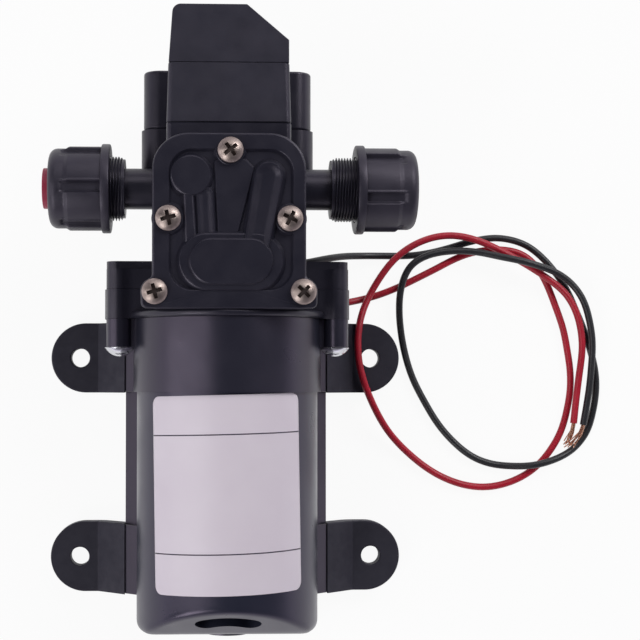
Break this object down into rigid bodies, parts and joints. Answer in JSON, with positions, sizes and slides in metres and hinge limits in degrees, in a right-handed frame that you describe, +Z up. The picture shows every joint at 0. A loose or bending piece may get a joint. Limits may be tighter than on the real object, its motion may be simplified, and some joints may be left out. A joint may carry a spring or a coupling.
{
  "type": "diaphragm water pump",
  "caption": "Small low-voltage diaphragm water pump with a round motor on a saddle bracket with rubber feet, side hose unions, a top pressure switch and loose leads.",
  "frame": {"origin": "centre of the four foot holes, on the mounting surface under the feet", "axes": "+X across the motor towards the outlet, +Y along the motor axis towards the pressure switch, +Z up from the mounting surface towards the front cover"},
  "size_m": [0.1588, 0.1645, 0.0583],
  "materials": {
    "black_plastic": "satin moulded black, glass filled",
    "nut_plastic": "satin moulded black",
    "switch_plastic": "satin moulded black",
    "can_paint": "satin black powder coat",
    "bracket_paint": "satin black paint",
    "foot_rubber": "soft matt black",
    "seal_rubber": "matt black",
    "valve_rubber": "matt pale silicone",
    "valve_plastic": "moulded dark grey",
    "white_plastic": "moulded natural acetal",
    "plug_plastic": "soft red polyethylene",
    "card": "brown phenolic",
    "carbon": "matt graphite",
    "ferrite": "ground ceramic magnet",
    "core_steel": "stacked laminations",
    "steel": "ground steel",
    "screw_steel": "stainless steel",
    "bronze": "sintered bronze",
    "copper": "bare copper",
    "red_insulation": "soft red cable sheath",
    "black_insulation": "soft black cable sheath"
  },
  "bodies": {
    "pump": {"base_bracket": "bracket_paint", "foot_upper_left": "foot_rubber", "foot_upper_right": "foot_rubber", "foot_lower_left": "foot_rubber", "foot_lower_right": "foot_rubber", "motor_can": "can_paint", "rear_bearing": "bronze", "field_magnets": "ferrite", "motor_adapter": "black_plastic", "front_bearing": "bronze", "brush_card": "card", "carbon_brushes": "carbon", "crank_plate": "black_plastic", "clamp_screws": "screw_steel", "pump_body": "black_plastic", "chamber_cap": "black_plastic", "diaphragm": "seal_rubber", "valve_plate": "valve_plastic", "inlet_valve": "valve_rubber", "outlet_valve": "valve_rubber", "cover_gasket": "seal_rubber", "front_cover": "black_plastic", "cover_screws": "screw_steel", "inlet_seal": "seal_rubber", "outlet_seal": "seal_rubber", "switch_base": "switch_plastic", "switch_cap": "switch_plastic", "switch_diaphragm": "seal_rubber", "switch_spring": "steel", "micro_switch": "card", "lead_grommets": "seal_rubber", "red_lead": "red_insulation", "black_lead": "black_insulation", "red_lead_end": "copper", "black_lead_end": "copper"},
    "rotor": {"motor_shaft": "steel", "armature_core": "core_steel", "armature_winding": "copper", "commutator": "copper", "eccentric": "steel", "bearing_inner_race": "steel"},
    "rod": {"connecting_rod": "white_plastic", "bearing_outer_race": "steel", "bearing_balls": "steel", "diaphragm_washer": "steel", "diaphragm_screw": "steel"},
    "inlet_carrier": {"inlet_collet": "white_plastic"},
    "inlet_union": {"inlet_nut": "nut_plastic"},
    "inlet_stopper": {"inlet_plug": "plug_plastic"},
    "outlet_carrier": {"outlet_collet": "white_plastic"},
    "outlet_union": {"outlet_nut": "nut_plastic"},
    "plunger": {"switch_plunger": "white_plastic"},
    "adjuster": {"adjusting_screw": "screw_steel"}
  },
  "joints": [
    {"name": "rotor_spin", "type": "hinge", "parent": "pump", "child": "rotor", "pos_m": [0, 0, 0.029], "axis": [0, 1, 0], "continuous": true, "deforming": ["diaphragm"]},
    {"name": "rod_orbit", "type": "hinge", "parent": "rotor", "child": "rod", "pos_m": [0, 0.054, 0.0308], "axis": [0, 1, 0], "continuous": true},
    {"name": "inlet_nut_travel", "type": "slide", "parent": "pump", "child": "inlet_carrier", "axis": [-1, 0, 0], "range_m": [-0.0004, 0.0076]},
    {"name": "inlet_nut_turn", "type": "hinge", "parent": "inlet_carrier", "child": "inlet_union", "pos_m": [-0.039, 0.0726, 0.036], "axis": [-1, 0, 0], "range_deg": [-90, 1800]},
    {"name": "inlet_plug_pull", "type": "slide", "parent": "inlet_carrier", "child": "inlet_stopper", "axis": [-1, 0, 0], "range_m": [0, 0.012]},
    {"name": "outlet_nut_travel", "type": "slide", "parent": "pump", "child": "outlet_carrier", "axis": [1, 0, 0], "range_m": [-0.0024, 0.0052]},
    {"name": "outlet_nut_turn", "type": "hinge", "parent": "outlet_carrier", "child": "outlet_union", "pos_m": [0.041, 0.0726, 0.036], "axis": [1, 0, 0], "range_deg": [-540, 1200]},
    {"name": "plunger_lift", "type": "slide", "parent": "pump", "child": "plunger", "axis": [0, 1, 0], "range_m": [0, 0.001], "stiffness_N_per_m": 800, "springref_m": -0.001, "deforming": ["switch_spring"]},
    {"name": "adjuster_turn", "type": "hinge", "parent": "pump", "child": "adjuster", "pos_m": [-0.004, 0.116, 0.0416], "axis": [0, 1, 0], "range_deg": [-180, 180]}
  ],
  "couplings": [
    {"joint": "rod_orbit", "follows": "rotor_spin", "ratio": -1},
    {"joint": "inlet_nut_travel", "follows": "inlet_nut_turn", "m_per_rad": 0.00023873},
    {"joint": "outlet_nut_travel", "follows": "outlet_nut_turn", "m_per_rad": 0.00023873}
  ]
}
